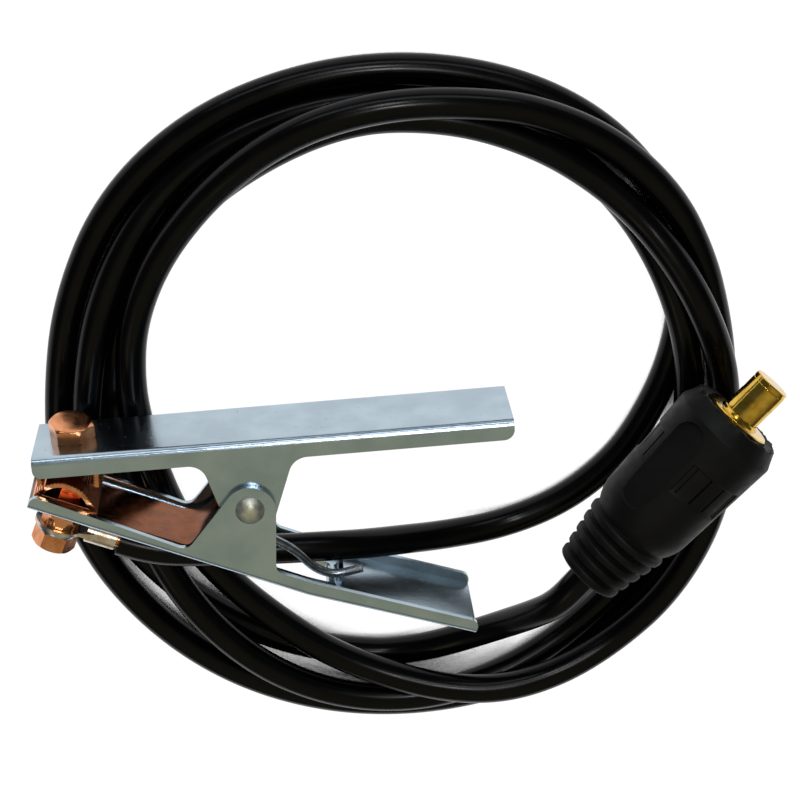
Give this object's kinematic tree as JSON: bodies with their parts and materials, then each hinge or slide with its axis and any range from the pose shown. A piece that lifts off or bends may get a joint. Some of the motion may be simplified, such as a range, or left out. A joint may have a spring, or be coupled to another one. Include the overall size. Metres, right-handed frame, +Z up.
{
  "type": "welding earth clamp with cable and plug",
  "caption": "Sprung welding earth clamp with copper jaws, a coiled rubber-sheathed cable and a booted bayonet cable plug.",
  "frame": {"origin": "centre of the clamp's own box, without the free cable, its coil and its plug", "axes": "+X from the jaws to the handles, +Y from the lower lever to the upper one, +Z up along the rivet as the clamp lies on its side"},
  "size_m": [0.2578, 0.256, 0.0601],
  "materials": {
    "zinc_plated_steel": "bright zinc plate over pressed sheet steel",
    "spring_steel": "drawn wire, satin",
    "copper_plate": "copper plate over steel, semi-bright",
    "copper_sheet": "rolled copper sheet, bright",
    "tinned_copper": "tin plate, satin",
    "bare_copper": "stranded wire",
    "black_rubber": "smooth extruded rubber, slight gloss",
    "boot_rubber": "moulded rubber, matt",
    "brass": "turned brass, bright"
  },
  "bodies": {
    "lower_arm": {"lower_lever": "zinc_plated_steel", "pivot_rivet": "zinc_plated_steel", "rivet_washer": "zinc_plated_steel", "spring_sleeve": "zinc_plated_steel", "torsion_spring": "spring_steel", "lower_jaw": "copper_plate", "bridging_strap": "copper_sheet", "lower_jaw_bolt": "copper_plate", "lower_jaw_nut": "copper_plate", "lower_spacer_nut": "copper_plate", "lug_lock_washer": "copper_plate", "cable_lug": "tinned_copper", "cable_conductor": "bare_copper", "clamp_cable": "black_rubber", "cable_coil": "black_rubber", "plug_cable": "black_rubber", "plug_boot": "boot_rubber", "plug_pin_body": "brass", "plug_ferrule": "brass", "plug_conductor": "bare_copper", "plug_grub_screws": "spring_steel"},
    "upper_arm": {"upper_lever": "zinc_plated_steel", "upper_jaw": "copper_plate", "upper_jaw_bolt": "copper_plate"}
  },
  "joints": [
    {"name": "clamp_opening", "type": "hinge", "parent": "lower_arm", "child": "upper_arm", "pos_m": [-0.00725, 0.01267, 0.00001], "axis": [0, 0, -1], "range_deg": [0, 30], "stiffness_Nm_per_rad": 2, "springref_deg": -45.84, "deforming": ["torsion_spring", "bridging_strap"]}
  ]
}
